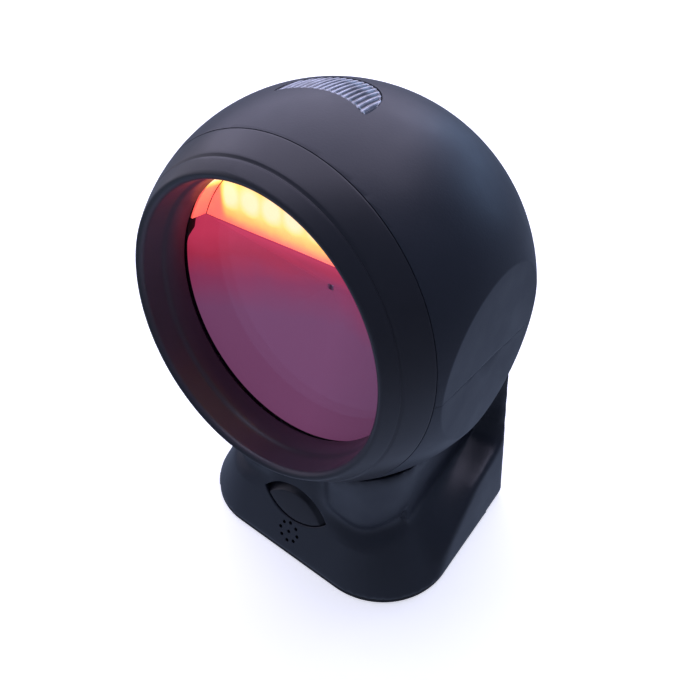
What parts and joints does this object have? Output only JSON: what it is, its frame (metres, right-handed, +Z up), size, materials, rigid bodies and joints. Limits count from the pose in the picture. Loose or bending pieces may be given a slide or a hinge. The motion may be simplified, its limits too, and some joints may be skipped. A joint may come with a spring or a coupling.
{
  "type": "presentation barcode scanner",
  "caption": "Hands-free desk barcode scanner with a round tilting head, recessed round window and a weighted base.",
  "frame": {"origin": "on the table plane, straight below the centre of the round head", "axes": "+Z up, front with the window towards -Y, +X to the right seen from the front"},
  "size_m": [0.0936, 0.0899, 0.145],
  "materials": {
    "case_plastic": "fine spark-eroded texture",
    "bezel_plastic": "satin",
    "window_red": "tinted clear acrylic",
    "soft_black": "matte",
    "dark_plastic": "matte",
    "clear_lens": "clear, ribbed",
    "lamp_plastic": "translucent",
    "led": "clear",
    "circuit_board": "solder mask",
    "screw_steel": "zinc plated",
    "brass": "turned",
    "ballast_steel": "raw",
    "black_moulding": "moulded"
  },
  "bodies": {
    "base": {"base_shell": "case_plastic", "saddle_pad": "soft_black", "clamp_shoe": "ballast_steel", "clamp_washer": "screw_steel", "clamp_nut": "screw_steel", "clamp_bolt": "screw_steel", "spring_washers": "screw_steel", "button_switch": "black_moulding", "beeper": "black_moulding", "button_board": "circuit_board", "button_board_posts": "dark_plastic", "button_board_screws": "screw_steel", "bottom_plate": "dark_plastic", "bottom_screws": "screw_steel", "rubber_mat": "soft_black", "mounting_inserts": "brass", "ballast_weight": "ballast_steel", "ballast_screws": "screw_steel", "port_board": "circuit_board", "port_board_screws": "screw_steel", "cable_socket": "black_moulding", "harness_connector": "black_moulding", "wire_harness": "black_moulding"},
    "head": {"head_upper_shell": "case_plastic", "head_lower_shell": "case_plastic", "head_shell_screws": "screw_steel", "front_bezel": "bezel_plastic", "window_pane": "window_red", "window_gasket": "soft_black", "window_retainer": "dark_plastic", "window_screws": "screw_steel", "light_shroud": "dark_plastic", "lamp_diffuser": "lamp_plastic", "lamp_leds": "led", "lamp_board": "circuit_board", "lamp_screws": "screw_steel", "camera_housing": "dark_plastic", "lens_barrel": "screw_steel", "camera_lens": "clear_lens", "camera_board": "circuit_board", "camera_screws": "screw_steel", "main_board": "circuit_board", "main_board_screws": "screw_steel", "main_board_chips": "black_moulding", "board_connector": "black_moulding", "indicator_lens": "clear_lens", "indicator_board": "circuit_board", "indicator_leds": "led", "indicator_screws": "screw_steel"},
    "button": {"button_cap": "bezel_plastic"}
  },
  "joints": [
    {"name": "head_tilt", "type": "hinge", "parent": "base", "child": "head", "pos_m": [0, 0, 0.093], "axis": [1, 0, 0], "range_deg": [-10, 20], "deforming": ["wire_harness"]},
    {"name": "button_press", "type": "slide", "parent": "base", "child": "button", "axis": [0, 0.9455, -0.3256], "range_m": [0, 0.0008], "stiffness_N_per_m": 1500}
  ]
}
